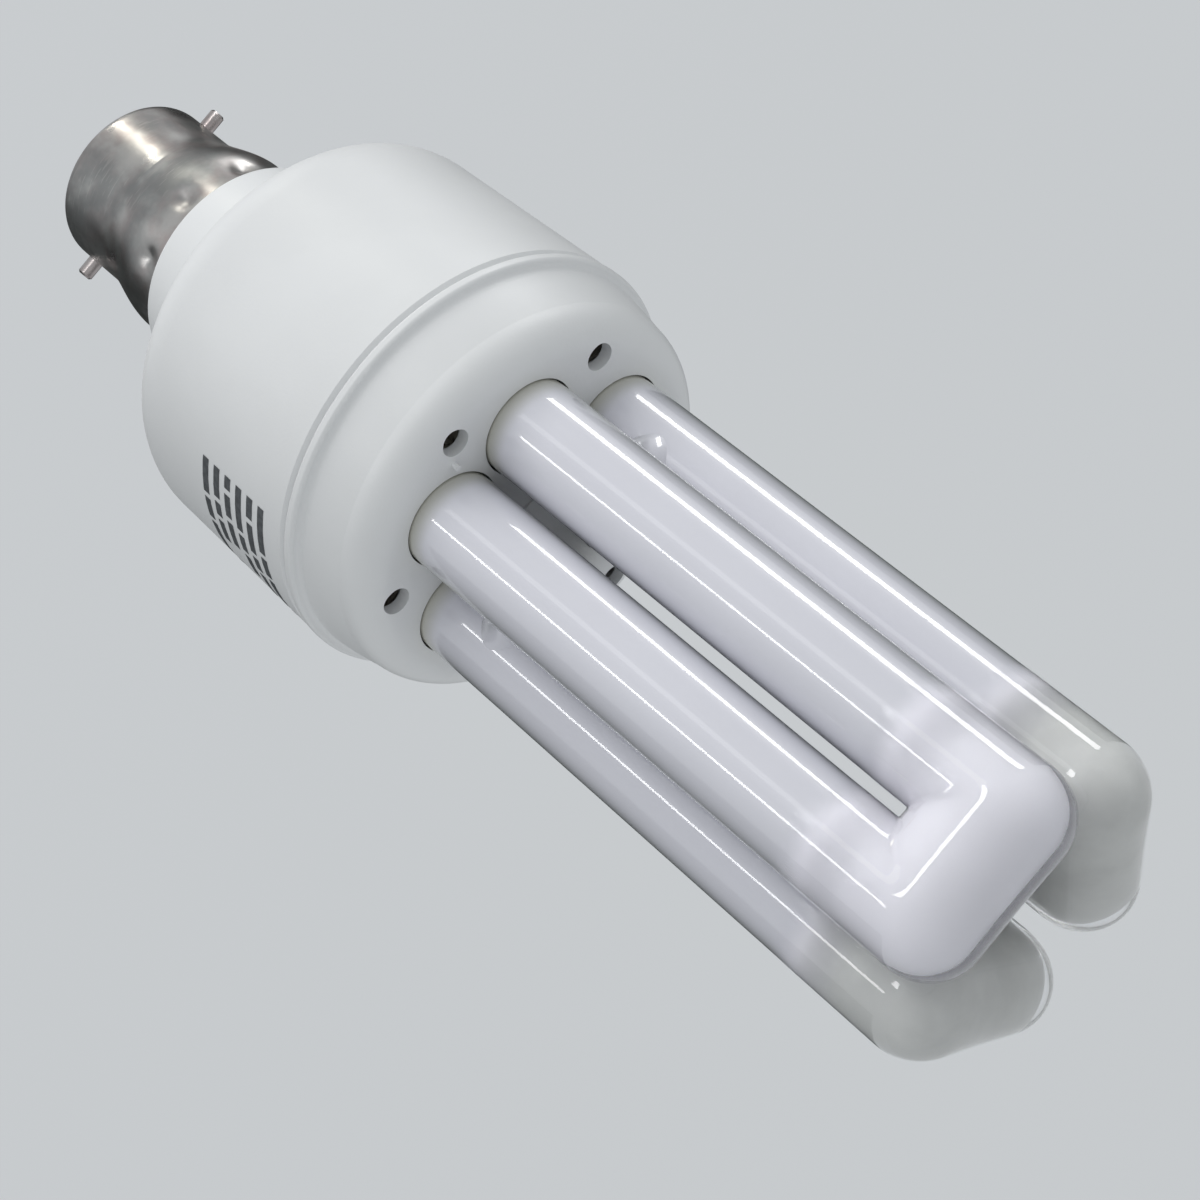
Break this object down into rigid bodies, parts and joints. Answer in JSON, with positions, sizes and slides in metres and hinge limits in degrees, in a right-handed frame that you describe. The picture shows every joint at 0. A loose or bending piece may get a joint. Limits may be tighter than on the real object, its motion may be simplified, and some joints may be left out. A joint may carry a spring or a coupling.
{
  "type": "compact fluorescent bulb",
  "caption": "Compact fluorescent bulb: bent parallel glass tubes on a white round ballast housing with a metal bayonet cap.",
  "frame": {"origin": "centre of the cap's end, at the level of the contact tips", "axes": "+Z along the lamp from the contacts to the ends of the tubes; +X along the bayonet pins; -Y faces the first bent tube"},
  "size_m": [0.0538, 0.0538, 0.1616],
  "materials": {
    "cap_metal": "dull, tarnished and scratched",
    "pin_metal": "dull plating",
    "black_glass": "glossy, opaque",
    "contact_brass": "satin",
    "solder": "dull solder",
    "white_plastic": "fine satin moulding",
    "coated_glass": "clear gloss over a white coat, opaque",
    "cement": "matt, poured",
    "board": "paper laminate",
    "sleeve_plastic": "shrunk sleeve",
    "ferrite": "matt sintered",
    "bobbin_plastic": "moulded",
    "copper_wire": "enamelled copper",
    "black_epoxy": "moulded epoxy",
    "diode_glass": "glossy bead",
    "dipped_coat": "dipped resin",
    "resistor_coat": "lacquered",
    "thermistor_coat": "dipped resin",
    "bare_wire": "bare tinned wire",
    "wire_cover": "soft sleeve"
  },
  "bodies": {
    "root": {"cap_shell": "cap_metal", "bayonet_pin_a": "pin_metal", "bayonet_pin_b": "pin_metal", "cap_insulator": "black_glass", "contact_a": "contact_brass", "contact_b": "contact_brass", "contact_solder_a": "solder", "contact_solder_b": "solder", "upper_housing": "white_plastic", "lower_housing": "white_plastic", "discharge_tube": "coated_glass", "tube_cement": "cement", "circuit_board": "board", "smoothing_capacitor": "sleeve_plastic", "choke_core_a": "ferrite", "choke_core_b": "ferrite", "drive_core": "ferrite", "filter_core": "ferrite", "choke_bobbin": "bobbin_plastic", "choke_winding": "copper_wire", "filter_winding": "copper_wire", "drive_winding_1": "copper_wire", "drive_winding_2": "copper_wire", "drive_winding_3": "copper_wire", "transistor_a": "black_epoxy", "transistor_b": "black_epoxy", "rectifier_diode_1": "black_epoxy", "rectifier_diode_2": "black_epoxy", "rectifier_diode_3": "black_epoxy", "rectifier_diode_4": "black_epoxy", "trigger_diode": "diode_glass", "starting_capacitor": "dipped_coat", "blocking_capacitor": "dipped_coat", "base_resistor_a": "resistor_coat", "base_resistor_b": "resistor_coat", "start_resistor": "resistor_coat", "thermistor": "thermistor_coat", "wrap_pin_1": "contact_brass", "wrap_pin_2": "contact_brass", "wrap_pin_3": "contact_brass", "wrap_pin_4": "contact_brass", "filament_lead_1": "bare_wire", "filament_lead_2": "bare_wire", "filament_lead_3": "bare_wire", "filament_lead_4": "bare_wire", "mains_lead_a": "wire_cover", "mains_lead_b": "wire_cover"}
  },
  "joints": []
}
